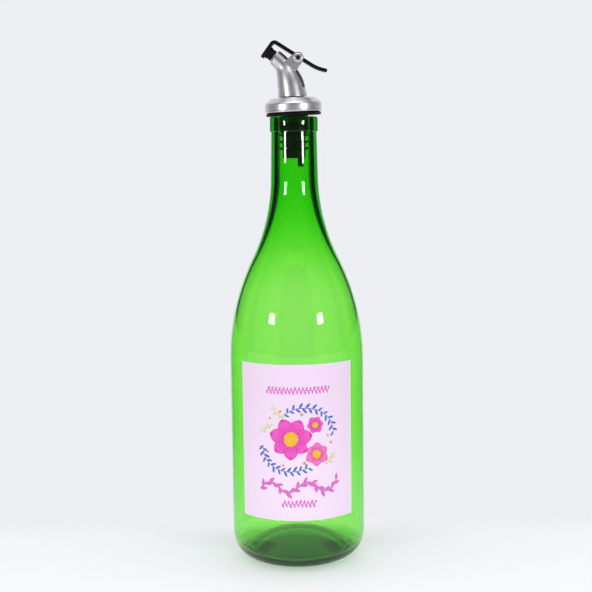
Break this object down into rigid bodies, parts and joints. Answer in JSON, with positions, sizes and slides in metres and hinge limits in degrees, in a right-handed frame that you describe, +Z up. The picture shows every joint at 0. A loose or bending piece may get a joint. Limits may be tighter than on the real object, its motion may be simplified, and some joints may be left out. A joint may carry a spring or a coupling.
{
  "type": "oil dispenser bottle",
  "caption": "Tall green glass bottle with sloping shoulders, a domed base and a paper label; a steel pourer with a hinged black lever that lifts a cap off its spout.",
  "frame": {"origin": "on the surface the bottle stands on, under the middle of its base", "axes": "+Z up along the bottle's axis, -Y towards the label, -X the way the spout pours"},
  "size_m": [0.0834, 0.0839, 0.32],
  "materials": {
    "green_glass": "clear polished green glass",
    "label_paper": "matte pale lilac paper with a printed flower",
    "black_silicone": "smooth black silicone",
    "polished_steel": "satin polished steel",
    "black_plastic": "glossy black plastic"
  },
  "bodies": {
    "bottle": {"glass_body": "green_glass", "glass_shoulders": "green_glass", "glass_neck": "green_glass", "label": "label_paper", "stopper": "black_silicone", "breather_tube": "black_plastic", "collar": "polished_steel", "spout": "polished_steel", "vent_strip": "black_plastic", "mouth_lip": "black_silicone", "hinge_pin": "black_plastic"},
    "lever": {"lever": "black_plastic", "seal_cap": "black_silicone"}
  },
  "joints": [
    {"name": "lever_hinge", "type": "hinge", "parent": "bottle", "child": "lever", "pos_m": [0.00307, -0.00119, 0.30947], "axis": [0, 0.9994, 0.0349], "range_deg": [0, 32]}
  ]
}
